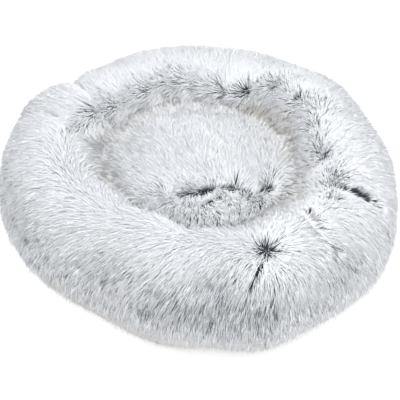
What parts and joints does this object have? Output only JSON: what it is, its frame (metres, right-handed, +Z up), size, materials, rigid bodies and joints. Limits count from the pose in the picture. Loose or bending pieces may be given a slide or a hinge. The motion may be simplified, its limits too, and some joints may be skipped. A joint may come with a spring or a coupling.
{
  "type": "round pet cushion",
  "caption": "Round pet bed: a long-pile plush bolster ring round a plush-covered pad, on a base cloth closed by a zip.",
  "frame": {"origin": "on the floor, under the middle of the bed's box", "axes": "+Z up, -Y towards the front, +X to the right along the zip"},
  "size_m": [0.6038, 0.5969, 0.1628],
  "materials": {
    "plush": "long frosted pile, white tips over slate roots",
    "liner": "thin nonwoven",
    "filling": "loose fibre",
    "base": "plain weave with grip dots",
    "tape": "woven tape",
    "teeth": "moulded",
    "zip_metal": "plated"
  },
  "bodies": {
    "bed": {"bolster_cover": "plush", "bolster_liner": "liner", "bolster_filling": "filling", "cushion_cover": "plush", "cushion_liner": "liner", "cushion_filling": "filling", "base_cloth_back": "base", "base_cloth_front": "base", "zip_tape_back": "tape", "zip_tape_front": "tape", "zip_teeth_back": "teeth", "zip_teeth_front": "teeth", "zip_top_stop_back": "zip_metal", "zip_top_stop_front": "zip_metal", "zip_bottom_stop": "zip_metal"},
    "slider": {"zip_slider": "zip_metal"},
    "pull": {"zip_pull": "zip_metal"}
  },
  "joints": [
    {"name": "zip_slide", "type": "slide", "parent": "bed", "child": "slider", "axis": [1, 0, 0], "range_m": [-0.224, 0]},
    {"name": "pull_hinge", "type": "hinge", "parent": "slider", "child": "pull", "pos_m": [0.112, 0, 0.00415], "axis": [0, -1, 0], "range_deg": [0, 170]}
  ]
}
